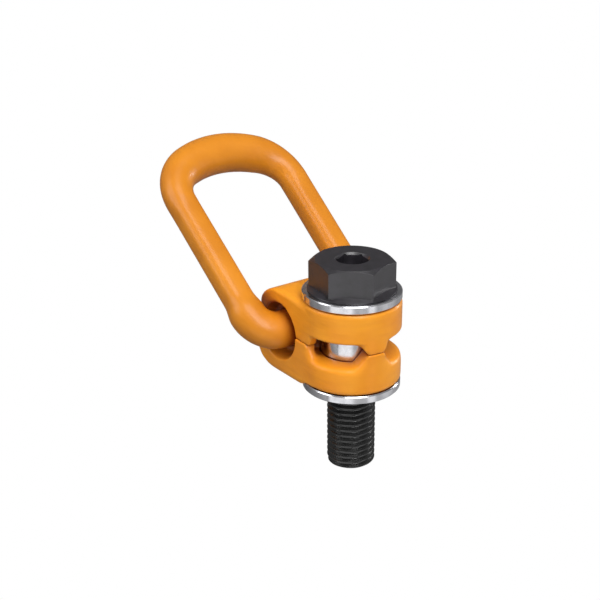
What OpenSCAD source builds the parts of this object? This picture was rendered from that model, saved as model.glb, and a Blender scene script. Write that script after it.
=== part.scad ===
// Swivel hoist ring for an M24 tapped hole.
// Two forged halves turn on a sleeve clamped under the bolt head and hold a tilting link.
// The seat is the plane z = 0, +Z runs up the bolt and +Y points at the jaw that holds the link.

/* [Bolt] */
// Nominal diameter of the thread
thread_d = 24; // [20:1:24]
// Diameter of the plain shank inside the sleeve
shank_d = 23.6; // [19:0.1:23.6]
// Thread pitch
thread_pitch = 3; // [2:0.5:3]
// Length of thread that stands out below the seat
thread_len = 43; // [30:1:60]
// Width across flats of the hexagon head
head_af = 36; // [34:1:38]
// Height of the bolt head
head_h = 15; // [12:1:18]
// Diameter of the collar under the hexagon
head_collar_d = 43; // [42:1:46]
// Width across flats of the key socket in the head
socket_af = 14; // [10:1:14]
// Depth of the key socket
socket_depth = 9; // [6:1:11]
// Turn of the hexagon about the bolt axis
head_turn = 20; // [0:1:60]

/* [Sleeve and collars] */
// Outer diameter of the sleeve that the halves turn on
sleeve_d = 30; // [29:1:31]
// Height of the sleeve, from the seat to the underside of the bolt head
sleeve_h = 50; // [50:1:54]
// Outer diameter of both collars
collar_d = 48; // [46:1:49]
// Thickness of each collar
collar_t = 4; // [3:0.5:4.5]

/* [Forged halves] */
// Diameter of the round boss
boss_d = 48.2; // [48:0.2:50]
// Half width of the upper jaw where its nose begins to round
upper_jaw_half_w = 22; // [20:0.5:23]
// Half width of the lower jaw where its nose begins to round
lower_jaw_half_w = 24; // [22:0.5:24]
// Radius of the upper jaw round the link bar
upper_jaw_r = 21; // [19:0.2:21.4]
// Radius of the lower jaw's round nose
lower_jaw_r = 22; // [19:0.2:22.4]
// Depth of the lower jaw's nose centre below the link bar
lower_jaw_drop = 1.2; // [0:0.1:1.4]
// Height of the parting plane between the halves
parting_z = 25; // [24:0.5:26]
// Underside of the upper half over each side window
window_top = 30; // [28:0.5:32]
// Floor of each side window at the sleeve
window_floor = 18.7; // [17:0.1:20]
// Fall of the window floor from the sleeve to the outer wall
floor_fall = 1.4; // [1:0.1:3]
// Angle from the middle of the back to the window on the -X side, at the parting plane
left_tooth_angle = 18.5; // [14:0.5:24]
// Angle from the middle of the back to the window on the +X side, at the parting plane
right_tooth_angle = 1.5; // [0:0.5:24]
// Angle from the middle of the back to the upper half's window end beside the jaw
upper_end_angle = 98; // [94:0.5:100]
// Angle from the middle of the back to the lower half's window end beside the jaw
lower_end_angle = 104; // [100:0.5:106]

/* [Link] */
// Distance of the link bar from the bolt axis
bar_y = 29; // [28.5:0.5:31]
// Height of the link bar above the seat
bar_z = 24; // [23.8:0.1:25]
// Diameter of the link bar and its elbows
bar_d = 18.5; // [16:0.5:18.5]
// Diameter of the link's legs
leg_d = 16; // [15:0.5:16.5]
// Diameter of the link at the middle of its crown
crown_d = 21; // [17:0.5:21]
// Half the distance between the leg centres where the crown starts
leg_half_gap = 35; // [34.6:0.2:36]
// Angle at which each leg leans outwards
leg_splay = 0.8; // [0:0.1:1]
// Distance from the bar centre to the middle of the crown
link_reach = 110; // [100:0.5:115]
// Angle of the link above the seat plane
link_angle = 37; // [0:0.5:90]

/* [Hidden] */
$fn = 96;
// Touching shapes overlap by eps, and cuts run over past the surface they leave through
eps = 0.01;
over = 1;

// Radial clearance of every running fit
run_gap = 0.075;
// End play of the halves between the collars
end_play = 0.2;

steel_black = "#2e2d30";
zinc = "#d5d5d8";
enamel = "#ef9c2a";
spring_steel = "#8c8f94";

bolt_r = thread_d / 2;
shank_r = shank_d / 2;
sleeve_bore_r = bolt_r + run_gap;
sleeve_r = sleeve_d / 2;
boss_r = boss_d / 2;
boss_bottom = collar_t + end_play;
boss_top = sleeve_h - collar_t - end_play;

// Thread: 60 degree grooves with a flat crest and a flat root
depth_per_pitch = 0.61;
thread_root_r = bolt_r - depth_per_pitch * thread_pitch;
thread_crest = thread_pitch / 8;
thread_root = thread_pitch / 4;
// Plain land between the seat and the first groove
thread_land = 0.3;
end_chamfer = 1;
groove_count = floor((thread_len - thread_land) / thread_pitch);

// Hexagon head
head_corner_r = head_af / sqrt(3);
head_collar_edge = 0.6;
head_collar_cone = 1.6;
head_cone_top_r = head_af / 2 - 1;
head_top_chamfer = tan(30);
head_top_flat_r = head_af / 2 - 0.3;
socket_corner_r = socket_af / sqrt(3);
socket_mouth_r = socket_corner_r + 0.3;
socket_mouth_depth = 1;

// Retaining ring that keeps the bolt in the sleeve
ring_z = 0.9;
ring_h = 1.8;
ring_groove_r = 11;
ring_side_gap = 0.1;
ring_in_r = 11.2;
ring_out_r = 13.2;
ring_gap_angle = 24;
ring_pocket_r = 13.6;
ring_pocket_h = 3;

// Jaw
jaw_side_round = 4;
nose_round = 7;
jaw_root_half_w = 24;
bar_r = bar_d / 2;
socket_r = bar_r + run_gap;
mouth_floor_x = 16.5;
mouth_floor_r = 12.4;
mouth_rim_r = 14.9;
mouth_bottom_rise = 1;

// Block that takes away the other half of the body
half_space_side = 4 * bar_y;

// Room between the lower collar and the jaw beside it
collar_clearance = 0.6;

// Slopes of the window ends, which start at the parting plane, and the angle by which
// each window runs past them into the space of the other half
tooth_slope = 52;
upper_end_slope = 65;
lower_end_slope = 60;
end_lap = 4;

// Relief round the sleeve behind the jaw end of each window
relief_r = 19.4;
relief_from_angle = 60;
relief_end_angle = 128;

// Brake spring in its pocket behind the bar
spring_t = 0.9;
spring_half_w = 8;
spring_angle = 70;
spring_from = 190;
spring_side_gap = 0.05;
spring_end_angle = 1;

// Link: elbows, straight legs and a crown made of three arcs
elbow_r = 13;
leg_cone = 8;
corner_r = 23;
top_r = 52;
corner_x = leg_half_gap - corner_r * cos(leg_splay);
top_half_angle = asin(corner_x / (top_r - corner_r));
corner_y = link_reach - top_r + (top_r - corner_r) * cos(top_half_angle);
corner_sweep = 90 - top_half_angle + leg_splay;
leg_end_y = corner_y - corner_r * sin(leg_splay);
leg_start_y = elbow_r * (1 - sin(leg_splay));
leg_len = (leg_end_y - leg_start_y) / cos(leg_splay);
leg_start_x = leg_half_gap - leg_len * sin(leg_splay);
elbow_x = leg_start_x - elbow_r * cos(leg_splay);
corner_steps = 6;
top_steps = 3;
crown_steps = corner_steps + top_steps;
// Each length of bar runs this far into the next, thicker one
step_lap = 0.5;
cone_step = 0.1;

// Washer-shaped collar with a small chamfer on its rim
module collar_ring(bottom) {
    rim_chamfer = 0.4;
    outer = collar_d / 2;
    translate([0, 0, bottom])
        rotate_extrude()
            polygon([[sleeve_r, 0], [outer - rim_chamfer, 0], [outer, rim_chamfer],
                     [outer, collar_t - rim_chamfer], [outer - rim_chamfer, collar_t],
                     [sleeve_r, collar_t]]);
}

// One 60 degree groove turned into the shank, its middle at height z
module thread_groove(z) {
    half_mouth = (thread_pitch - thread_crest) / 2;
    translate([0, 0, z])
        rotate_extrude()
            polygon([[thread_root_r, -thread_root / 2],
                     [bolt_r, -half_mouth], [bolt_r + over, -half_mouth],
                     [bolt_r + over, half_mouth], [bolt_r, half_mouth],
                     [thread_root_r, thread_root / 2]]);
}

module shank() {
    rotate_extrude()
        polygon([[0, -thread_len], [bolt_r - end_chamfer, -thread_len],
                 [bolt_r, -thread_len + end_chamfer], [bolt_r, 0], [shank_r, 0],
                 [shank_r, ring_z], [ring_groove_r, ring_z],
                 [ring_groove_r, ring_z + ring_h], [shank_r, ring_z + ring_h],
                 [shank_r, sleeve_h + eps], [0, sleeve_h + eps]]);
}

module hexagon_head() {
    top = sleeve_h + head_h;
    cone_top = sleeve_h + head_collar_edge + head_collar_cone;
    blank_r = head_corner_r + over;
    rotate_extrude()
        polygon([[0, sleeve_h], [head_collar_d / 2, sleeve_h],
                 [head_collar_d / 2, sleeve_h + head_collar_edge],
                 [head_cone_top_r, cone_top], [0, cone_top]]);
    intersection() {
        translate([0, 0, sleeve_h + head_collar_edge])
            rotate([0, 0, head_turn])
                cylinder(r = head_corner_r, h = head_h - head_collar_edge, $fn = 6);
        rotate_extrude()
            polygon([[0, sleeve_h], [blank_r, sleeve_h],
                     [blank_r, top - (blank_r - head_top_flat_r) * head_top_chamfer],
                     [head_top_flat_r, top], [0, top]]);
    }
}

module key_socket() {
    top = sleeve_h + head_h;
    translate([0, 0, top - socket_depth])
        rotate([0, 0, head_turn])
            cylinder(r = socket_corner_r, h = socket_depth + over, $fn = 6);
    translate([0, 0, top - socket_mouth_depth])
        cylinder(r1 = socket_mouth_r - socket_mouth_depth, r2 = socket_mouth_r + eps,
                 h = socket_mouth_depth + eps);
}

module hex_bolt() {
    color(steel_black)
        difference() {
            union() {
                shank();
                hexagon_head();
            }
            key_socket();
            for (i = [0 : groove_count - 1])
                thread_groove(-thread_land - (i + 0.5) * thread_pitch);
        }
}

module bolt_retaining_ring() {
    color(spring_steel)
        rotate([0, 0, ring_gap_angle / 2])
            rotate_extrude(angle = 360 - ring_gap_angle)
                translate([ring_in_r, ring_z + ring_side_gap])
                    square([ring_out_r - ring_in_r, ring_h - 2 * ring_side_gap]);
}

module sleeve() {
    color(zinc)
        difference() {
            cylinder(r = sleeve_r, h = sleeve_h);
            translate([0, 0, -over])
                cylinder(r = sleeve_bore_r, h = sleeve_h + 2 * over);
            translate([0, 0, -over])
                cylinder(r = ring_pocket_r, h = ring_pocket_h + over);
        }
}

module upper_collar() {
    color(zinc) collar_ring(sleeve_h - collar_t);
}

module lower_collar() {
    color(zinc) collar_ring(0);
}

// Outline of a jaw seen from above: straight sides and a nose with round corners
module jaw_plan(radius, half_w) {
    nose_y = bar_y + radius;
    corner_y = nose_y - nose_round;
    corner_x = half_w - nose_round;
    polygon([[-jaw_root_half_w, 0], [jaw_root_half_w, 0], [half_w, corner_y],
             [corner_x, corner_y], [corner_x, nose_y], [-corner_x, nose_y],
             [-corner_x, corner_y], [-half_w, corner_y]]);
    for (side = [-1, 1])
        translate([side * corner_x, corner_y])
            circle(r = nose_round);
}

// Outline of a jaw seen along the bar: a block that ends in a round nose
module jaw_profile(radius, mid_z) {
    translate([0, mid_z - radius])
        square([bar_y, 2 * radius]);
    translate([bar_y, mid_z])
        circle(r = radius);
}

// Outline of a jaw seen along +Y, with its four long edges rounded
module jaw_front(radius, mid_z, half_w) {
    low = mid_z - radius;
    high = mid_z + radius;
    translate([-half_w + jaw_side_round, low])
        square([2 * (half_w - jaw_side_round), high - low]);
    translate([-half_w, low + jaw_side_round])
        square([2 * half_w, high - low - 2 * jaw_side_round]);
    for (side = [-1, 1], z = [low + jaw_side_round, high - jaw_side_round])
        translate([side * (half_w - jaw_side_round), z])
            circle(r = jaw_side_round);
}

module jaw(radius, mid_z, half_w) {
    length = bar_y + radius + over;
    intersection() {
        linear_extrude(height = sleeve_h)
            jaw_plan(radius, half_w);
        rotate([90, 0, 90])
            translate([0, 0, -boss_r])
                linear_extrude(height = boss_d)
                    jaw_profile(radius, mid_z);
        rotate([90, 0, 0])
            translate([0, 0, -length])
                linear_extrude(height = length + over)
                    jaw_front(radius, mid_z, jaw_root_half_w);
    }
}

module boss() {
    edge = 1.2;
    rotate_extrude()
        polygon([[0, boss_bottom], [boss_r - edge, boss_bottom], [boss_r, boss_bottom + edge],
                 [boss_r, boss_top - edge], [boss_r - edge, boss_top], [0, boss_top]]);
}

// Solid of revolution about the bar, drawn in the half plane (distance along X, radius)
module about_bar() {
    translate([0, bar_y, bar_z])
        rotate([0, 90, 0])
            rotate_extrude()
                children();
}

module bar_socket() {
    translate([-boss_r - over, bar_y, bar_z])
        rotate([0, 90, 0])
            cylinder(r = socket_r, h = boss_d + 2 * over);
}

// Mouth on each side of the jaw that leaves room for the link's elbows at every angle
module socket_mouth() {
    past = boss_r + over;
    past_r = mouth_rim_r + (mouth_rim_r - mouth_floor_r) / (boss_r - mouth_floor_x) * over;
    for (side = [0, 1])
        mirror([side, 0, 0])
            about_bar()
                polygon([[0, mouth_floor_x - mouth_bottom_rise],
                         [socket_r - over, mouth_floor_x - mouth_bottom_rise],
                         [mouth_floor_r, mouth_floor_x], [past_r, past], [0, past]]);
}

// One sector of the ring-shaped space round the sleeve
module wall_sector(from, span, outer, low_in, low_out, high) {
    inner = sleeve_r - over;
    rotate([0, 0, from])
        rotate_extrude(angle = span)
            polygon([[inner, low_in], [outer, low_out], [outer, high], [inner, high]]);
}

// Metal at one end of a window: all that lies under a plane tilted about a level radius
module window_end(angle, slope) {
    rotate([0, 0, angle - 90])
        translate([0, 0, parting_z])
            rotate([slope, 0, 0])
                half_space(-half_space_side);
}

// The upper half's part of the window on the +X side; angles are counted from -Y
module upper_window(tooth_angle) {
    low = parting_z - over;
    difference() {
        wall_sector(tooth_angle - end_lap - 90, upper_end_angle - tooth_angle + 2 * end_lap,
                    boss_r + 2 * over, low, low, window_top);
        window_end(tooth_angle, tooth_slope - 180);
        window_end(upper_end_angle, 180 - upper_end_slope);
    }
}

// The lower half's part of the window on the +X side
module lower_window(tooth_angle) {
    difference() {
        wall_sector(tooth_angle - end_lap - 90, lower_end_angle - tooth_angle + 2 * end_lap,
                    boss_r + 2 * over, window_floor, window_floor - floor_fall,
                    parting_z + over);
        window_end(tooth_angle, -tooth_slope);
        window_end(lower_end_angle, lower_end_slope);
    }
}

module sleeve_relief() {
    for (side = [0, 1])
        mirror([side, 0, 0])
            wall_sector(relief_from_angle - 90, relief_end_angle - relief_from_angle, relief_r,
                        window_floor + eps, window_floor + eps, window_top - eps);
}

module body_cuts() {
    translate([0, 0, -over])
        cylinder(r = sleeve_r + run_gap, h = sleeve_h + 2 * over);
    bar_socket();
    socket_mouth();
    sleeve_relief();
}

// The lower jaw reaches below the boss and clears the lower collar
module collar_room() {
    cylinder(r = collar_d / 2 + collar_clearance, h = boss_bottom);
}

// Block as large as the body whose underside is at the height given
module half_space(bottom) {
    translate([-half_space_side / 2, -half_space_side / 2, bottom])
        cube(half_space_side);
}

module upper_body() {
    color(enamel)
        difference() {
            union() {
                boss();
                jaw(upper_jaw_r, bar_z, upper_jaw_half_w);
            }
            body_cuts();
            upper_window(right_tooth_angle);
            mirror([1, 0, 0])
                upper_window(left_tooth_angle);
            half_space(parting_z - half_space_side);
        }
}

module spring_band(inner, outer, half_w, from, span) {
    translate([-half_w, bar_y, bar_z])
        rotate([90, 0, 90])
            rotate([0, 0, from])
                rotate_extrude(angle = span)
                    translate([inner, 0])
                        square([outer - inner, 2 * half_w]);
}

module lower_body() {
    color(enamel)
        difference() {
            union() {
                boss();
                jaw(lower_jaw_r, bar_z - lower_jaw_drop, lower_jaw_half_w);
            }
            body_cuts();
            lower_window(right_tooth_angle);
            mirror([1, 0, 0])
                lower_window(left_tooth_angle);
            collar_room();
            spring_band(bar_r - over, socket_r + spring_t, spring_half_w + spring_side_gap,
                        spring_from - spring_end_angle, spring_angle + 2 * spring_end_angle);
            half_space(parting_z);
        }
}

module link_brake_spring() {
    color(spring_steel)
        spring_band(socket_r, socket_r + spring_t, spring_half_w, spring_from, spring_angle);
}

// Arc of round bar in the X-Y plane: centre line radius, bar diameter, first angle and sweep
module bar_arc(radius, d, from, sweep) {
    rotate([0, 0, from])
        rotate_extrude(angle = sweep)
            translate([radius, 0])
                circle(d = d);
}

// The crown grows from the leg to its middle in small steps
function crown_step_d(i) = leg_d + (crown_d - leg_d) * (i + 1) / crown_steps;

module half_crown() {
    corner_step = corner_sweep / corner_steps;
    top_step = top_half_angle / top_steps;
    translate([corner_x, corner_y, 0])
        for (i = [0 : corner_steps - 1])
            bar_arc(corner_r, crown_step_d(i), -leg_splay + i * corner_step,
                    corner_step + step_lap);
    translate([0, link_reach - top_r, 0])
        for (i = [0 : top_steps - 1])
            bar_arc(top_r, crown_step_d(corner_steps + i), 90 - top_half_angle + i * top_step,
                    top_step + (i < top_steps - 1 ? step_lap : 0));
}

// Half of the link on the +X side, lying flat with the bar on the X axis
module half_link() {
    rotate([0, 90, 0])
        cylinder(d = bar_d, h = elbow_x);
    translate([elbow_x, elbow_r, 0])
        bar_arc(elbow_r, bar_d, -90, 90 - leg_splay + step_lap);
    translate([leg_start_x, leg_start_y, 0])
        rotate([-90, 0, -leg_splay]) {
            cylinder(d1 = bar_d + cone_step, d2 = leg_d, h = leg_cone);
            cylinder(d = leg_d, h = leg_len + step_lap);
        }
    half_crown();
}

module load_link() {
    color(enamel)
        translate([0, bar_y, bar_z])
            rotate([link_angle, 0, 0])
                for (side = [0, 1])
                    mirror([side, 0, 0])
                        half_link();
}

hex_bolt();
bolt_retaining_ring();
sleeve();
upper_collar();
lower_collar();
upper_body();
lower_body();
link_brake_spring();
load_link();
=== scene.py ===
# Swivel hoist ring: a black bolt through a turned sleeve, two forged halves that swivel on it
# and a forged link that tilts in their jaw. Lengths are metres, written as millimetres times MM.
import math

import bmesh
import bpy
from mathutils import Matrix, Vector


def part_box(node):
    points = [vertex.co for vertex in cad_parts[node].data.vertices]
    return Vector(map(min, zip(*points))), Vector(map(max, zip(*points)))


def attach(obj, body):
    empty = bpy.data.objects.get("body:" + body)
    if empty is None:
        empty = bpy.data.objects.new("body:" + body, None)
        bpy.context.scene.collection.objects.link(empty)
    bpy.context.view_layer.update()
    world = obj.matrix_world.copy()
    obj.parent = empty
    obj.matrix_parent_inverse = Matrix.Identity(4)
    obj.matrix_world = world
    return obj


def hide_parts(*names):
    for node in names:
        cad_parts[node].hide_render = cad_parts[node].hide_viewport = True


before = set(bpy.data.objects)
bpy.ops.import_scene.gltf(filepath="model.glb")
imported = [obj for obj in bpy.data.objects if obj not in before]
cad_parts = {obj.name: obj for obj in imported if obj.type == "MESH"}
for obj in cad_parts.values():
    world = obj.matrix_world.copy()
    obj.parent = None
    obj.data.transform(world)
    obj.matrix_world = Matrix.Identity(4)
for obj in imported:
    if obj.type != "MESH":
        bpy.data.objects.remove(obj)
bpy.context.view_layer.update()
MM = 0.001

# The studio: a white sweep that the ring stands on with the end of its bolt, a large soft
# light in front on the right, one above, a weak one on the left and a tall strip behind.
scene = bpy.context.scene
seat_to_tip = -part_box("hex_bolt")[0].z
view_turn, view_rise, view_roll = math.radians(-38.5), math.radians(24.2), math.radians(0.49)
view_distance = 520 * MM
look_at = Vector((0, 0, 25 * MM))
towards_camera = Vector((math.sin(view_turn) * math.cos(view_rise),
                         -math.cos(view_turn) * math.cos(view_rise), math.sin(view_rise)))
camera_right = Vector((math.cos(view_turn), math.sin(view_turn), 0))
camera_up = towards_camera.cross(camera_right)
camera = bpy.data.objects.new("camera", bpy.data.cameras.new("camera"))
scene.collection.objects.link(camera)
camera_axes = Matrix((camera_right, camera_up, towards_camera)).transposed().to_4x4()
camera.matrix_world = (Matrix.Translation(look_at + towards_camera * view_distance)
                       @ camera_axes @ Matrix.Rotation(view_roll, 4, "Z"))
camera.data.lens = 64.55
camera.data.sensor_width = 36
camera.data.shift_x = -0.0862
camera.data.shift_y = 0.06
scene.camera = camera
scene.view_settings.view_transform = "Standard"


def linear(hex_colour):
    """An sRGB hex colour as the linear RGBA that a socket takes."""
    channels = [int(hex_colour[i:i + 2], 16) / 255 for i in (1, 3, 5)]
    return [c / 12.92 if c <= 0.04045 else ((c + 0.055) / 1.055) ** 2.4 for c in channels] + [1]


def node(tree, kind, links=(), **settings):
    """Adds a node. A setting named like a socket fills that socket, and links join
    (output, name or index of the input)."""
    made = tree.nodes.new(kind)
    for name, value in settings.items():
        if hasattr(made, name):
            setattr(made, name, value)
        else:
            made.inputs[name.replace("_", " ")].default_value = value
    for output, target in links:
        tree.links.new(output, made.inputs[target])
    return made


def softbox(name, place, size, power, tint="#FFFFFF"):
    """An area light that looks at the middle of the ring."""
    light = bpy.data.lights.new(name, "AREA")
    light.shape = "RECTANGLE"
    light.size, light.size_y = size
    light.energy = power
    light.color = linear(tint)[:3]
    lamp = bpy.data.objects.new(name, light)
    lamp.location = Vector(place)
    lamp.rotation_euler = (look_at - lamp.location).to_track_quat("-Z", "Y").to_euler()
    scene.collection.objects.link(lamp)


def studio_place(right, up, near):
    """A point given as seen from the camera, counted from the middle of the ring."""
    return look_at + camera_right * right + camera_up * up + towards_camera * near


softbox("left_fill", studio_place(-0.85, 0.45, 0.40), (0.45, 0.8), 3.0)
softbox("top_light", look_at + Vector((-0.10, -0.25, 0.85)), (0.5, 0.5), 3.6)
softbox("front_key", studio_place(0.30, 0.30, 0.95), (0.45, 0.7), 6.2)
softbox("right_strip", studio_place(0.75, 0.15, -0.45), (0.12, 0.8), 4)

world = bpy.data.worlds.new("studio")
world.use_nodes = True
scene.world = world
sky = world.node_tree
sky.nodes.clear()
seen = node(sky, "ShaderNodeBackground", Color=(1, 1, 1, 1), Strength=1.0)
# The room is dim behind the ring and brighter on the camera's side
direction = node(sky, "ShaderNodeTexCoord").outputs["Generated"]
facing = node(sky, "ShaderNodeVectorMath", [(direction, 0)], operation="DOT_PRODUCT")
facing.inputs[1].default_value = towards_camera
room = node(sky, "ShaderNodeMapRange", [(facing.outputs["Value"], "Value")],
            **{"From_Min": -1, "From_Max": 1, "To_Min": 0.10, "To_Max": 0.42})
lighting = node(sky, "ShaderNodeBackground", [(room.outputs[0], "Strength")], Color=(1, 1, 1, 1))
ray = node(sky, "ShaderNodeLightPath")
both = node(sky, "ShaderNodeMixShader", [(ray.outputs["Is Camera Ray"], 0),
                                         (lighting.outputs[0], 1), (seen.outputs[0], 2)])
node(sky, "ShaderNodeOutputWorld", [(both.outputs[0], "Surface")])

paper = bpy.data.materials.new("white_paper_sweep")
paper.use_nodes = True
paper_tree = paper.node_tree
paper_tree.nodes.clear()
matt = node(paper_tree, "ShaderNodeBsdfDiffuse", Color=linear("#9C9C9C"))
lit_through = node(paper_tree, "ShaderNodeEmission", Color=(1, 1, 1, 1), Strength=1.0)
paper_ray = node(paper_tree, "ShaderNodeLightPath")
# Painted reflection: the paper glows in bright and dull strips that only reflections see, and the
# turned rims mirror them as upright bands
paper_place = node(paper_tree, "ShaderNodeSeparateXYZ",
                   [(node(paper_tree, "ShaderNodeTexCoord").outputs["Object"], 0)])
paper_bearing = node(paper_tree, "ShaderNodeMath", [(paper_place.outputs[1], 0),
                                                    (paper_place.outputs[0], 1)],
                     operation="ARCTAN2")
strips = node(paper_tree, "ShaderNodeValToRGB",
              [(node(paper_tree, "ShaderNodeMapRange", [(paper_bearing.outputs[0], "Value")],
                     **{"From_Min": -math.pi, "From_Max": math.pi}).outputs[0], 0)])
camera_bearing = math.degrees(math.atan2(towards_camera.y, towards_camera.x))
strips.color_ramp.elements.remove(strips.color_ramp.elements[1])
for turn, glow in ((-120, 0.15), (-75, 0.3), (-55, 0.5), (-46, 1.15), (0, 1.15), (9, 0.62),
                   (32, 0.55), (38, 1.1), (48, 1.1), (56, 0.5), (80, 0.75), (110, 0.4)):
    stop = strips.color_ramp.elements.new(((camera_bearing + turn) % 360 + 180) % 360 / 360)
    stop.color = (glow, glow, glow, 1)
painted_reflection_glow = node(paper_tree, "ShaderNodeEmission", [(strips.outputs[0], "Color")], Strength=1.0)
rough_view = node(paper_tree, "ShaderNodeMixShader", [(paper_ray.outputs["Is Glossy Ray"], 0),
                                                      (matt.outputs[0], 1),
                                                      (painted_reflection_glow.outputs[0], 2)])
sheet = node(paper_tree, "ShaderNodeMixShader", [(paper_ray.outputs["Is Camera Ray"], 0),
                                                 (rough_view.outputs[0], 1),
                                                 (lit_through.outputs[0], 2)])
node(paper_tree, "ShaderNodeOutputMaterial", [(sheet.outputs[0], "Surface")])
sweep_mesh = bmesh.new()
bmesh.ops.create_grid(sweep_mesh, x_segments=1, y_segments=1, size=3,
                      matrix=Matrix.Translation((0, 0, -seat_to_tip - 0.2 * MM)))
floor_data = bpy.data.meshes.new("floor")
sweep_mesh.to_mesh(floor_data)
floor = bpy.data.objects.new("floor", floor_data)
floor.data.materials.append(paper)
scene.collection.objects.link(floor)

# The two halves of the body are drop forged alloy steel, trimmed, machined where they turn on
# the sleeve and powder coated in orange enamel. They are stacked on the sleeve with the link's
# bar between them, and the collars hold them together. The forging leaves soft edges, and the
# coat a faint orange-peel skin, thinner and lighter on the edges; painted shade darkens it in the
# hollows.
PAINTED_SHADE_ORANGE, WORN_ORANGE = "#9A490F", "#F7AC45"


def powder_coat(name, grain_axis_scale, thick, thin):
    """Glossy orange powder coat over forged steel, with the forging's faint flow marks."""
    coat = bpy.data.materials.new(name)
    coat.use_nodes = True
    tree = coat.node_tree
    shader = tree.nodes["Principled BSDF"]
    place = node(tree, "ShaderNodeTexCoord").outputs["Object"]
    cloud = node(tree, "ShaderNodeTexNoise", [(place, "Vector")], Scale=1 / (22 * MM), Detail=3)
    tone = node(tree, "ShaderNodeValToRGB", [(cloud.outputs["Fac"], 0)])
    tone.color_ramp.elements[0].position = 0.35
    tone.color_ramp.elements[0].color = linear(thick)
    tone.color_ramp.elements[1].position = 0.65
    tone.color_ramp.elements[1].color = linear(thin)
    # Painted shade: the coat is mixed towards a deep orange where ambient occlusion finds it shut
    # in, in its own hollows and next to other parts
    painted_shade_occlusion = node(tree, "ShaderNodeAmbientOcclusion", samples=8, Distance=9 * MM)
    painted_shade_mask = node(tree, "ShaderNodeMapRange", [(painted_shade_occlusion.outputs["AO"], "Value")],
                  **{"From_Min": 0.20, "From_Max": 0.80})
    edge = node(tree, "ShaderNodeNewGeometry").outputs["Pointiness"]
    crest = node(tree, "ShaderNodeMapRange", [(edge, "Value")],
                 **{"From_Min": 0.53, "From_Max": 0.62})
    painted_shade_tone = node(tree, "ShaderNodeMix", [(painted_shade_mask.outputs[0], 0), (tone.outputs[0], 7)],
                  data_type="RGBA")
    painted_shade_tone.inputs[6].default_value = linear(PAINTED_SHADE_ORANGE)
    thinned = node(tree, "ShaderNodeMix", [(crest.outputs[0], 0), (painted_shade_tone.outputs[2], 6)],
                   data_type="RGBA")
    thinned.inputs[7].default_value = linear(WORN_ORANGE)
    tree.links.new(thinned.outputs[2], shader.inputs["Base Color"])
    peel = node(tree, "ShaderNodeTexNoise", [(place, "Vector")], Scale=1 / (1.6 * MM), Detail=2)
    stretched = node(tree, "ShaderNodeMapping", [(place, "Vector")])
    stretched.inputs["Scale"].default_value = grain_axis_scale
    flow = node(tree, "ShaderNodeTexNoise", [(stretched.outputs[0], "Vector")],
                Scale=1 / (6 * MM), Detail=2)
    skin = node(tree, "ShaderNodeBump", [(peel.outputs["Fac"], "Height")],
                Strength=0.10, Distance=0.25 * MM)
    relief = node(tree, "ShaderNodeBump", [(flow.outputs["Fac"], "Height"),
                                           (skin.outputs[0], "Normal")],
                  Strength=0.30, Distance=0.9 * MM)
    tree.links.new(relief.outputs[0], shader.inputs["Normal"])
    gloss = node(tree, "ShaderNodeMapRange", [(cloud.outputs["Fac"], "Value")],
                 **{"To_Min": 0.32, "To_Max": 0.44})
    tree.links.new(gloss.outputs[0], shader.inputs["Roughness"])
    shader.inputs["IOR"].default_value = 1.5
    shader.inputs["Specular IOR Level"].default_value = 0.35
    shader.inputs["Coat Weight"].default_value = 0.12
    shader.inputs["Coat Roughness"].default_value = 0.15
    return coat


def finish_piece(name, mesh, material, body, stands_for):
    """Makes the piece from its bmesh, gives it its material, puts it on its body and hides the CAD
    part it stands for.
    """
    data = bpy.data.meshes.new(name)
    mesh.to_mesh(data)
    mesh.free()
    data.materials.append(material)
    piece = bpy.data.objects.new(name, data)
    scene.collection.objects.link(piece)
    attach(piece, body)
    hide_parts(stands_for)
    return piece


def shade_smooth(piece, angle=180):
    """Smooth shading that keeps edges sharper than the angle."""
    for face in piece.data.polygons:
        face.use_smooth = True
    if angle < 180:
        piece.data.set_sharp_from_angle(angle=math.radians(angle))


soft_passes, scoop_passes, blend_passes = 9, 70, 3
scoop_inner_r, scoop_front_y = 17 * MM, 8 * MM


def forged_copy(name, cad_name, material, scoop_low, scoop_high):
    """The CAD half with its loose triangles merged, its skin remeshed and its edges softened,
    most of all round the boss between the two heights, where the windows are scooped out."""
    mesh = bmesh.new()
    mesh.from_mesh(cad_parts[cad_name].data)
    bmesh.ops.remove_doubles(mesh, verts=mesh.verts, dist=0.002 * MM)
    piece = finish_piece(name, mesh, material, "swivel", cad_name)
    skin = piece.modifiers.new("forged_skin", "REMESH")
    skin.mode = "VOXEL"
    skin.voxel_size = 0.5 * MM
    remeshed = bpy.data.meshes.new_from_object(
        piece.evaluated_get(bpy.context.evaluated_depsgraph_get()))
    piece.modifiers.clear()
    forged = bmesh.new()
    forged.from_mesh(remeshed)
    scoop = [v for v in forged.verts if scoop_low < v.co.z < scoop_high
             and v.co.y < scoop_front_y and v.co.xy.length > scoop_inner_r]
    for verts, passes in ((forged.verts, soft_passes), (scoop, scoop_passes),
                          (forged.verts, blend_passes)):
        for _ in range(passes):
            bmesh.ops.smooth_vert(forged, verts=verts, factor=0.5, use_axis_x=True,
                                  use_axis_y=True, use_axis_z=True)
    forged.to_mesh(piece.data)
    forged.free()
    shade_smooth(piece)


body_coat = powder_coat("orange_powder_coat_on_body", (0.35, 0.35, 2.2),
                        "#EE921C", "#F6A024")
forged_copy("upper_forged_half", "upper_body", body_coat, 28 * MM, 31 * MM)
forged_copy("lower_forged_half", "lower_body", body_coat, 13 * MM, 23.2 * MM)

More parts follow.
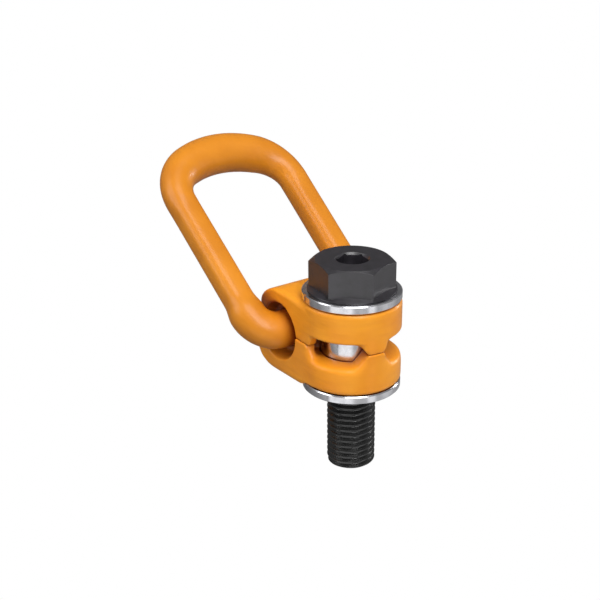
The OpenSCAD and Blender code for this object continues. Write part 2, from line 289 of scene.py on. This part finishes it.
# The load link is one forging of alloy steel in the same enamel: a round bar that lies in the
# jaw, two elbows, two straight legs with trimmed flats on their faces and sides, and a thicker
# crown where the hook bears. It is one closed ring, so its bar goes in before the halves close.
bar_middle = Vector((0, 29 * MM, 24 * MM))
link_tilt = math.radians(37)
bar_r, leg_r, crown_r = 9.25 * MM, 8 * MM, 10.5 * MM
elbow_bend, corner_bend, crown_bend = 13 * MM, 23 * MM, 52 * MM
reach, half_gap, splay = 110 * MM, 35 * MM, math.radians(0.8)
corner_x = half_gap - corner_bend * math.cos(splay)
crown_half_angle = math.asin(corner_x / (crown_bend - corner_bend))
corner_y = reach - crown_bend + (crown_bend - corner_bend) * math.cos(crown_half_angle)
leg_end_y = corner_y - corner_bend * math.sin(splay)
leg_start_y = elbow_bend * (1 - math.sin(splay))
leg_length = (leg_end_y - leg_start_y) / math.cos(splay)
leg_start_x = half_gap - leg_length * math.sin(splay)
elbow_x = leg_start_x - elbow_bend * math.cos(splay)
bar_steps, elbow_steps, leg_steps, corner_steps, crown_steps = 8, 20, 48, 30, 16
# The flats start faintly on the elbow, are full along the leg and fade out into the crown
elbow_flat, crown_start_flat = 0.25, 0.2
thinning_length, flat_length, flat_end_share = 9 * MM, 12 * MM, 0.86


def ease(share):
    """Rises smoothly from 0 to 1."""
    share = min(1, max(0, share))
    return share * share * (3 - 2 * share)


def arc_stations(centre, bend, start, sweep, steps, radius_at, flat_at):
    """Stations along an arc: place, heading, bar radius and how far its flats are trimmed."""
    for i in range(1, steps + 1):
        turn = start + sweep * i / steps
        place = Vector((centre[0] + bend * math.cos(turn), centre[1] + bend * math.sin(turn)))
        yield place, turn + math.pi / 2, radius_at(i / steps), flat_at(i / steps)


stations = [(Vector((elbow_x * i / bar_steps, 0)), 0, bar_r, 0) for i in range(bar_steps + 1)]
stations += arc_stations((elbow_x, elbow_bend), elbow_bend, -math.pi / 2, math.pi / 2 - splay,
                         elbow_steps, lambda s: bar_r, lambda s: elbow_flat * ease(s))
for i in range(1, leg_steps + 1):
    along = i / leg_steps
    thinning = ease(along * leg_length / thinning_length)
    trimmed = elbow_flat + (1 - elbow_flat) * ease(along * leg_length / flat_length)
    trimmed *= 1 - ease((along - flat_end_share) / 0.2)
    stations.append((Vector((leg_start_x, leg_start_y))
                     + Vector((math.sin(splay), math.cos(splay))) * leg_length * along,
                     math.pi / 2 - splay, bar_r + (leg_r - bar_r) * thinning, trimmed))
corner_sweep = math.pi / 2 - crown_half_angle + splay
corner_share = corner_sweep / (corner_sweep + crown_half_angle)
stations += arc_stations((corner_x, corner_y), corner_bend, -splay, corner_sweep, corner_steps,
                         lambda s: leg_r + (crown_r - leg_r) * ease(s * corner_share),
                         lambda s: crown_start_flat * (1 - ease(4 * s)))
stations += arc_stations((0, reach - crown_bend), crown_bend, math.pi / 2 - crown_half_angle,
                         crown_half_angle, crown_steps,
                         lambda s: leg_r + (crown_r - leg_r) * ease(corner_share
                                                                    + s * (1 - corner_share)),
                         lambda s: 0)


flat_depth, flat_firmness = 0.10, 7


def trimmed_section(across, through, radius, trim):
    """Presses a round section in, so that soft flat lands form on its sides and faces."""
    side = 1 - flat_depth * trim * (abs(across) / radius) ** flat_firmness
    face = 1 - flat_depth * trim * (abs(through) / radius) ** flat_firmness
    return across * side, through * face


link_mesh = bmesh.new()
section_points = 64
ring = bmesh.ops.create_circle(link_mesh, segments=section_points, radius=1, cap_ends=False)
ring_verts = ring["verts"]
ring_angles = {v: math.atan2(v.co.y, v.co.x) for v in ring_verts}


def lay_section(verts, angles, station):
    """Puts a ring of vertices round one station of the centre line."""
    place, heading, radius, trim = station
    outward = Vector((math.sin(heading), -math.cos(heading), 0))
    for v in verts:
        across, through = trimmed_section(radius * math.cos(angles[v]),
                                          radius * math.sin(angles[v]), radius, trim)
        v.co = Vector((place.x, place.y, 0)) + outward * across + Vector((0, 0, through))


lay_section(ring_verts, ring_angles, stations[0])
ring_edges = list(link_mesh.edges)
for station in stations[1:]:
    grown = bmesh.ops.extrude_edge_only(link_mesh, edges=ring_edges)["geom"]
    next_verts = [g for g in grown if isinstance(g, bmesh.types.BMVert)]
    ring_edges = [g for g in grown if isinstance(g, bmesh.types.BMEdge)
                  and all(v in next_verts for v in g.verts)]
    before = {}
    for v in next_verts:
        mate = next(e.other_vert(v) for e in v.link_edges if e.other_vert(v) in ring_angles)
        before[v] = ring_angles[mate]
    lay_section(next_verts, before, station)
    ring_angles = before
bmesh.ops.mirror(link_mesh, geom=link_mesh.verts[:] + link_mesh.edges[:] + link_mesh.faces[:],
                 axis="X", merge_dist=0.001 * MM)
bmesh.ops.remove_doubles(link_mesh, verts=link_mesh.verts, dist=0.005 * MM)
bmesh.ops.recalc_face_normals(link_mesh, faces=link_mesh.faces)
bmesh.ops.transform(link_mesh, verts=link_mesh.verts,
                    matrix=Matrix.Translation(bar_middle) @ Matrix.Rotation(link_tilt, 4, "X"))
# Painted shade: the link gets a darker copy of the body's orange, so that it reads less lit than
# the body
shaded_link_coat = powder_coat("painted_shade_powder_coat_on_link", (1.0, 0.6, 0.6), "#CE7D17", "#DA881B")
link = finish_piece("forged_load_link", link_mesh, shaded_link_coat, "link", "load_link")
shade_smooth(link)

# The bolt is quenched alloy steel with a black oxide finish: a hexagon head with its corners
# turned off at 30 degrees, a cone and a round collar under it, a hexagon key socket with a
# countersunk mouth, and a rolled M24 x 3 thread that runs up to the seat.
def black_oxide(name, dark, light, gloss):
    """Black oxide on steel: near black, satin, a little cloudy where the salts dried."""
    oxide = bpy.data.materials.new(name)
    oxide.use_nodes = True
    tree = oxide.node_tree
    shader = tree.nodes["Principled BSDF"]
    place = node(tree, "ShaderNodeTexCoord").outputs["Object"]
    cloud = node(tree, "ShaderNodeTexNoise", [(place, "Vector")],
                 Scale=1 / (5 * MM), Detail=6, Roughness=0.65)
    tone = node(tree, "ShaderNodeValToRGB", [(cloud.outputs["Fac"], 0)])
    tone.color_ramp.elements[0].position = 0.35
    tone.color_ramp.elements[0].color = linear(dark)
    tone.color_ramp.elements[1].position = 0.65
    tone.color_ramp.elements[1].color = linear(light)
    tree.links.new(tone.outputs[0], shader.inputs["Base Color"])
    # The oxide's grain is finer than this, and is drawn as coarse as it needs to show
    grain = node(tree, "ShaderNodeTexNoise", [(place, "Vector")], Scale=1 / (0.6 * MM), Detail=2)
    skin = node(tree, "ShaderNodeBump", [(grain.outputs["Fac"], "Height")],
                Strength=0.12, Distance=0.1 * MM)
    tree.links.new(skin.outputs[0], shader.inputs["Normal"])
    satin = node(tree, "ShaderNodeMapRange", [(cloud.outputs["Fac"], "Value")],
                 **{"To_Min": gloss[0], "To_Max": gloss[1]})
    tree.links.new(satin.outputs[0], shader.inputs["Roughness"])
    shader.inputs["Specular IOR Level"].default_value = 0.9
    return oxide


head_oxide = black_oxide("black_oxide_on_forged_head", "#19171B", "#27242A", (0.30, 0.42))
thread_oxide = black_oxide("black_oxide_on_rolled_thread", "#080808", "#111110", (0.22, 0.32))
head_bottom = 50 * MM
head_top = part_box("hex_bolt")[1].z
flat_r = 18 * MM
corner_r = flat_r / math.cos(math.pi / 6)
head_turn = math.radians(20)
collar_r = 21.5 * MM
key_corner_r = 7 * MM / math.cos(math.pi / 6)
key_depth = 9 * MM
thread_r, pitch = 12 * MM, 3 * MM
top_flat_r, collar_edge, cone_top = flat_r - 0.3 * MM, 0.6 * MM, 2.2 * MM


def turned(profile, steps=96, sweep=2 * math.pi):
    """Turns a closed outline of (radius, height) points about the Z axis."""
    mesh = bmesh.new()
    points = [mesh.verts.new((r, 0, z)) for r, z in profile]
    edges = [mesh.edges.new((points[i], points[(i + 1) % len(points)]))
             for i in range(len(points))]
    whole = abs(sweep - 2 * math.pi) < 1e-6
    bmesh.ops.spin(mesh, geom=points + edges, cent=(0, 0, 0), axis=(0, 0, 1), angle=sweep,
                   steps=steps, use_merge=whole)
    bmesh.ops.remove_doubles(mesh, verts=mesh.verts, dist=0.001 * MM)
    if not whole:
        bmesh.ops.holes_fill(mesh, edges=mesh.edges)
    bmesh.ops.recalc_face_normals(mesh, faces=mesh.faces)
    return mesh


def tool(name, mesh):
    """A cutter for a Boolean: an object that is taken away again once it has cut."""
    data = bpy.data.meshes.new(name)
    mesh.to_mesh(data)
    mesh.free()
    made = bpy.data.objects.new(name, data)
    scene.collection.objects.link(made)
    return made


def cut(piece, cutter, operation):
    """Applies one Boolean to the piece and takes its cutter away."""
    step = piece.modifiers.new("cut", "BOOLEAN")
    step.object, step.operation, step.solver = cutter, operation, "EXACT"
    result = bpy.data.meshes.new_from_object(
        piece.evaluated_get(bpy.context.evaluated_depsgraph_get()))
    piece.modifiers.clear()
    piece.data = result
    bpy.data.objects.remove(cutter)


def prism(sides, radius, low, high, turn):
    """An upright prism with its corners at the radius."""
    mesh = bmesh.new()
    bmesh.ops.create_cone(mesh, cap_ends=True, segments=sides, radius1=radius, radius2=radius,
                          depth=high - low,
                          matrix=Matrix.Translation((0, 0, (low + high) / 2))
                          @ Matrix.Rotation(turn, 4, "Z"))
    bmesh.ops.recalc_face_normals(mesh, faces=mesh.faces)
    return mesh


# Blender's prism has its first corner on Y, the CAD model's on X
corner_turn = head_turn - math.pi / 2
chamfer_drop = (corner_r + MM - top_flat_r) * math.tan(math.radians(30))
bolt = finish_piece("black_hexagon_bolt", prism(6, corner_r, head_bottom + collar_edge, head_top,
                                                corner_turn),
                    head_oxide, "bolt", "hex_bolt")
cut(bolt, tool("chamfer", turned([(0, head_bottom), (corner_r + MM, head_bottom),
                                  (corner_r + MM, head_top - chamfer_drop),
                                  (top_flat_r, head_top), (0, head_top)], 192)),
    "INTERSECT")
cut(bolt, tool("under_head", turned([(0, head_bottom), (collar_r - 0.3 * MM, head_bottom),
                                     (collar_r, head_bottom + 0.3 * MM),
                                     (collar_r, head_bottom + collar_edge),
                                     (flat_r - MM, head_bottom + cone_top),
                                     (0, head_bottom + cone_top)], 192)), "UNION")
cut(bolt, tool("key_hole", prism(6, key_corner_r, head_top - key_depth, head_top + MM,
                                 corner_turn)), "DIFFERENCE")
cut(bolt, tool("countersink", turned([(0, head_top - MM), (key_corner_r - 0.7 * MM, head_top - MM),
                                      (key_corner_r + 0.8 * MM, head_top + 0.5 * MM),
                                      (0, head_top + 0.5 * MM)], 96)), "DIFFERENCE")

# The thread is one helical groove of the real 60 degree profile
crest, root = pitch / 8, pitch / 4
depth_per_pitch = 0.61
root_r = thread_r - depth_per_pitch * pitch
flank = (pitch - crest - root) / 2
thread_mesh = bmesh.new()
groove_top = 1.5 * MM
outline = [(thread_r, 0), (thread_r, -crest), (root_r + 0.12 * MM, -crest - 0.94 * flank),
           (root_r, -crest - flank - 0.2 * root), (root_r, -crest - flank - 0.8 * root),
           (root_r + 0.12 * MM, -pitch + 0.94 * flank), (thread_r, -pitch)]
thread_points = [thread_mesh.verts.new((r, 0, groove_top + z)) for r, z in outline]
thread_edges = [thread_mesh.edges.new(pair) for pair in zip(thread_points, thread_points[1:])]
turns, steps_per_turn = 16, 72
bmesh.ops.spin(thread_mesh, geom=thread_points + thread_edges, cent=(0, 0, 0), axis=(0, 0, -1),
               dvec=(0, 0, -pitch / steps_per_turn), angle=turns * 2 * math.pi,
               steps=turns * steps_per_turn, use_merge=False)
bmesh.ops.remove_doubles(thread_mesh, verts=thread_mesh.verts, dist=0.01 * MM)
bolt_end = -seat_to_tip
for height, keep_above in ((0.2 * MM, False), (bolt_end, True)):
    bmesh.ops.bisect_plane(thread_mesh,
                           geom=thread_mesh.verts[:] + thread_mesh.edges[:] + thread_mesh.faces[:],
                           dist=0.0001 * MM, plane_co=(0, 0, height), plane_no=(0, 0, 1),
                           clear_outer=not keep_above, clear_inner=keep_above)
lead_in = 1.2 * MM
for v in thread_mesh.verts:
    allowed = thread_r - lead_in + (v.co.z - bolt_end)
    across = Vector((v.co.x, v.co.y))
    if across.length > allowed:
        across *= allowed / across.length
        v.co.x, v.co.y = across
rims = [e for e in thread_mesh.edges if len(e.link_faces) == 1]
bmesh.ops.holes_fill(thread_mesh, edges=rims)
bmesh.ops.triangulate(thread_mesh, faces=[f for f in thread_mesh.faces if len(f.verts) > 4])
bmesh.ops.recalc_face_normals(thread_mesh, faces=thread_mesh.faces)
thread = finish_piece("rolled_thread", thread_mesh, thread_oxide, "bolt",
                      "hex_bolt")
shade_smooth(thread, 35)
shade_smooth(bolt, 30)
worn_edges = bolt.modifiers.new("worn_edges", "BEVEL")
worn_edges.width = 0.25 * MM
worn_edges.segments = 2
worn_edges.limit_method = "ANGLE"
worn_edges.angle_limit = math.radians(25)

shank_r, groove_r = 11.8 * MM, 11 * MM
shank = finish_piece("plain_shank", turned([(0, 0.15 * MM), (shank_r, 0.15 * MM),
                                            (shank_r, 0.9 * MM), (groove_r, 0.9 * MM),
                                            (groove_r, 2.7 * MM), (shank_r, 2.7 * MM),
                                            (shank_r, head_bottom + MM), (0, head_bottom + MM)]),
                     thread_oxide, "bolt", "hex_bolt")
shade_smooth(shank, 30)

# The collars are turned steel rings, zinc plated. They are pressed on the ends of the sleeve
# and keep the halves between them, so only the sleeve and collars are clamped to the load.
zinc = bpy.data.materials.new("bright_zinc_on_turned_steel")
zinc.use_nodes = True
zinc_tree = zinc.node_tree
zinc_shader = zinc_tree.nodes["Principled BSDF"]
zinc_place = node(zinc_tree, "ShaderNodeTexCoord").outputs["Object"]
zinc_cloud = node(zinc_tree, "ShaderNodeTexNoise", [(zinc_place, "Vector")],
                  Scale=1 / (4 * MM), Detail=5, Roughness=0.6)
zinc_tone = node(zinc_tree, "ShaderNodeValToRGB", [(zinc_cloud.outputs["Fac"], 0)])
zinc_tone.color_ramp.elements[0].position = 0.3
zinc_tone.color_ramp.elements[0].color = linear("#C4C4C9")
zinc_tone.color_ramp.elements[1].position = 0.7
zinc_tone.color_ramp.elements[1].color = linear("#E4E4E8")
zinc_tree.links.new(zinc_tone.outputs[0], zinc_shader.inputs["Base Color"])
zinc_shader.inputs["Metallic"].default_value = 1
# Turning marks run round the axis: the distance from it sets them on a face, the height on a rim
apart = node(zinc_tree, "ShaderNodeSeparateXYZ", [(zinc_place, 0)])
across_x = node(zinc_tree, "ShaderNodeMath", [(apart.outputs[0], 0), (apart.outputs[0], 1)],
                operation="MULTIPLY")
across_xy = node(zinc_tree, "ShaderNodeMath", [(apart.outputs[1], 0), (apart.outputs[1], 1),
                                               (across_x.outputs[0], 2)],
                 operation="MULTIPLY_ADD")
from_axis = node(zinc_tree, "ShaderNodeMath", [(across_xy.outputs[0], 0)], operation="SQRT")
lathe_path = node(zinc_tree, "ShaderNodeCombineXYZ", [(from_axis.outputs[0], 0),
                                                      (apart.outputs[2], 2)])
lathe_marks = node(zinc_tree, "ShaderNodeTexNoise", [(lathe_path.outputs[0], "Vector")],
                   Scale=1 / (0.35 * MM), Detail=3)
zinc_skin = node(zinc_tree, "ShaderNodeBump", [(lathe_marks.outputs["Fac"], "Height")],
                 Strength=0.12, Distance=0.08 * MM)
zinc_tree.links.new(zinc_skin.outputs[0], zinc_shader.inputs["Normal"])
zinc_gloss = node(zinc_tree, "ShaderNodeMapRange", [(zinc_cloud.outputs["Fac"], "Value")],
                  **{"To_Min": 0.12, "To_Max": 0.22})
zinc_tree.links.new(zinc_gloss.outputs[0], zinc_shader.inputs["Roughness"])

ring_r, sleeve_r, ring_height, stack = 24 * MM, 15 * MM, 4 * MM, 50 * MM
rim = 0.5 * MM


def collar(name, cad_name, low):
    """A turned ring with a small chamfer on both rims."""
    high = low + ring_height
    mesh = turned([(sleeve_r, low), (ring_r - rim, low), (ring_r, low + rim),
                   (ring_r, high - rim), (ring_r - rim, high), (sleeve_r, high)], 128)
    piece = finish_piece(name, mesh, zinc, "seat", cad_name)
    shade_smooth(piece, 30)


collar("upper_turned_collar", "upper_collar", stack - ring_height)
collar("lower_turned_collar", "lower_collar", 0)

# The sleeve is a turned steel tube, polished where the halves run on it. The bolt passes
# through it, and a pocket in its foot leaves room for the retaining ring.
bore_r, pocket_r, pocket_depth = 12.075 * MM, 13.6 * MM, 3 * MM
sleeve = finish_piece("turned_sleeve", turned([(pocket_r, 0), (sleeve_r - 0.4 * MM, 0),
                                               (sleeve_r, 0.4 * MM), (sleeve_r, stack - 0.4 * MM),
                                               (sleeve_r - 0.4 * MM, stack), (bore_r, stack),
                                               (bore_r, pocket_depth),
                                               (pocket_r, pocket_depth)], 128),
                      zinc, "seat", "sleeve")
shade_smooth(sleeve, 30)

# The retaining ring is round-edged spring steel, snapped into a groove of the shank so that
# the bolt can't fall out of the sleeve before the ring is screwed down.
spring_steel = bpy.data.materials.new("oiled_spring_steel")
spring_steel.use_nodes = True
spring_tree = spring_steel.node_tree
spring_shader = spring_tree.nodes["Principled BSDF"]
spring_place = node(spring_tree, "ShaderNodeTexCoord").outputs["Object"]
spring_cloud = node(spring_tree, "ShaderNodeTexNoise", [(spring_place, "Vector")],
                    Scale=1 / (3 * MM), Detail=4)
spring_tone = node(spring_tree, "ShaderNodeValToRGB", [(spring_cloud.outputs["Fac"], 0)])
spring_tone.color_ramp.elements[0].color = linear("#6B6660")
spring_tone.color_ramp.elements[1].color = linear("#9A9894")
spring_tree.links.new(spring_tone.outputs[0], spring_shader.inputs["Base Color"])
spring_shader.inputs["Metallic"].default_value = 1
spring_shader.inputs["Roughness"].default_value = 0.33

clip_gap = math.radians(24)
clip_mesh = turned([(11.2 * MM, MM), (13.2 * MM, MM), (13.2 * MM, 2.6 * MM), (11.2 * MM, 2.6 * MM)],
                   72, 2 * math.pi - clip_gap)
bmesh.ops.rotate(clip_mesh, verts=clip_mesh.verts, cent=(0, 0, 0),
                 matrix=Matrix.Rotation(clip_gap / 2, 3, "Z"))
bmesh.ops.bevel(clip_mesh, geom=[e for e in clip_mesh.edges if e.calc_face_angle(0) > 1],
                offset=0.25 * MM, offset_type="OFFSET", segments=2, profile=0.5,
                affect="EDGES", material=-1)
clip = finish_piece("shank_retaining_clip", clip_mesh, spring_steel, "bolt",
                    "bolt_retaining_ring")
shade_smooth(clip, 40)

# The brake spring is a curved strip of spring steel in a pocket of the lower half. It rubs on
# the link's bar, so the link stays at whatever angle it is put.
strip_r, strip_t, strip_half_width = bar_r + 0.075 * MM, 0.9 * MM, 8 * MM
strip_from, strip_sweep = math.radians(190), math.radians(70)
strip_mesh = bmesh.new()
strip_corners = [strip_mesh.verts.new((x, r, 0)) for x, r in
                 ((-strip_half_width, strip_r), (strip_half_width, strip_r),
                  (strip_half_width, strip_r + strip_t), (-strip_half_width, strip_r + strip_t))]
strip_face = strip_mesh.faces.new(strip_corners)
bmesh.ops.rotate(strip_mesh, verts=strip_corners, cent=(0, 0, 0),
                 matrix=Matrix.Rotation(strip_from, 3, "X"))
bmesh.ops.spin(strip_mesh, geom=[strip_face], cent=(0, 0, 0), axis=(1, 0, 0), angle=strip_sweep,
               steps=32)
bmesh.ops.remove_doubles(strip_mesh, verts=strip_mesh.verts, dist=0.001 * MM)
bmesh.ops.recalc_face_normals(strip_mesh, faces=strip_mesh.faces)
bmesh.ops.bevel(strip_mesh, geom=[e for e in strip_mesh.edges if e.calc_face_angle(0) > 1],
                offset=0.15 * MM, offset_type="OFFSET", segments=2, profile=0.5,
                affect="EDGES", material=-1)
bmesh.ops.translate(strip_mesh, verts=strip_mesh.verts, vec=bar_middle)
strip = finish_piece("curved_brake_strip", strip_mesh, spring_steel, "swivel",
                     "link_brake_spring")
shade_smooth(strip, 40)
